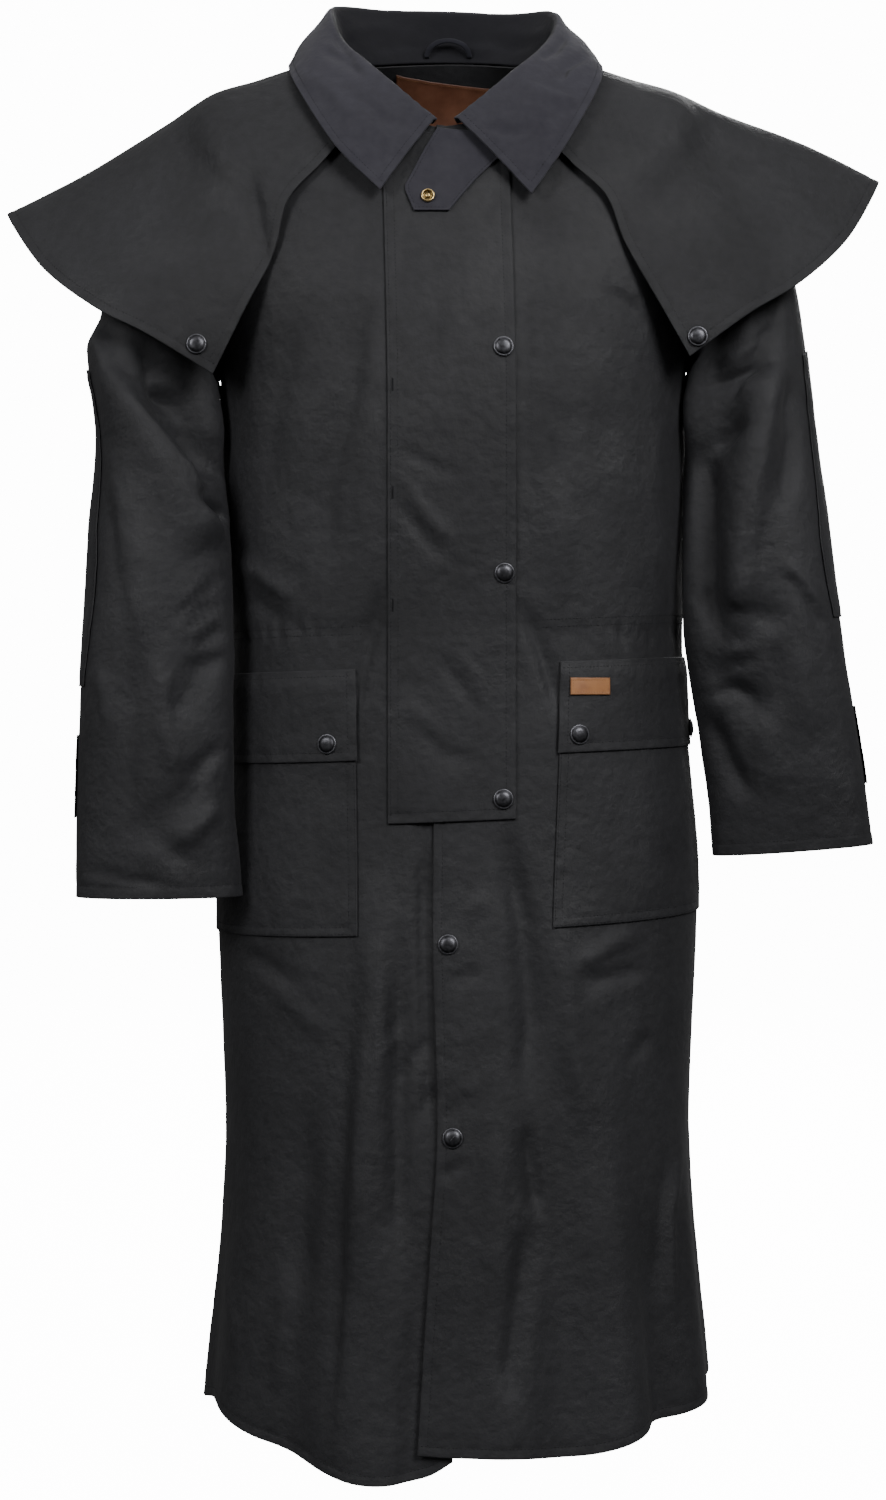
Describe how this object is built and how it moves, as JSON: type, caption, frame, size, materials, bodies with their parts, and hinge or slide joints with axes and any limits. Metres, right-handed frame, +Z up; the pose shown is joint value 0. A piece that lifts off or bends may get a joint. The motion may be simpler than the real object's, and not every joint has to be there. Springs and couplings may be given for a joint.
{
  "type": "duster coat",
  "caption": "Full-length duster coat filled out as worn, hollow, with a shoulder cape, turned-down collar, storm flap, patch pockets, elbow patches and cuff tabs.",
  "frame": {"origin": "middle of the neck opening, level with the neck points of the shoulder seams, where the wearer's neck and shoulders carry the coat", "axes": "+Z up along the coat's length, -Y towards the coat's front, +X towards the wearer's left side"},
  "size_m": [0.822, 0.4546, 1.3486],
  "materials": {
    "oilskin": "waxed cotton, dull with a soft sheen",
    "collar_cloth": "brushed cotton, matt",
    "leather": "smooth tanned leather",
    "snap_metal": "antique gunmetal plating, worn bright on the rims",
    "brass": "plain bright brass"
  },
  "bodies": {
    "root": {"front_left": "oilskin", "front_right": "oilskin", "back": "oilskin", "skirt_left": "oilskin", "skirt_right": "oilskin", "skirt_back_left": "oilskin", "skirt_back_right": "oilskin", "storm_flap": "oilskin", "pocket_left": "oilskin", "pocket_flap_left": "oilskin", "pocket_right": "oilskin", "pocket_flap_right": "oilskin", "sleeve_left": "oilskin", "elbow_patch_left": "oilskin", "cuff_tab_left": "oilskin", "snap_cuff_left": "snap_metal", "sleeve_right": "oilskin", "elbow_patch_right": "oilskin", "cuff_tab_right": "oilskin", "snap_cuff_right": "snap_metal", "cape": "oilskin", "snap_cape_left": "snap_metal", "snap_cape_right": "snap_metal", "collar": "collar_cloth", "hanging_loop": "collar_cloth", "neck_label": "leather", "leather_patch": "leather", "throat_tab": "collar_cloth", "snap_throat": "brass", "snap_storm_1": "snap_metal", "snap_storm_2": "snap_metal", "snap_storm_3": "snap_metal", "snap_skirt_1": "snap_metal", "snap_skirt_2": "snap_metal", "snap_pocket_left_front": "snap_metal", "snap_pocket_left_side": "snap_metal", "snap_pocket_right_front": "snap_metal", "snap_pocket_right_side": "snap_metal"}
  },
  "joints": []
}
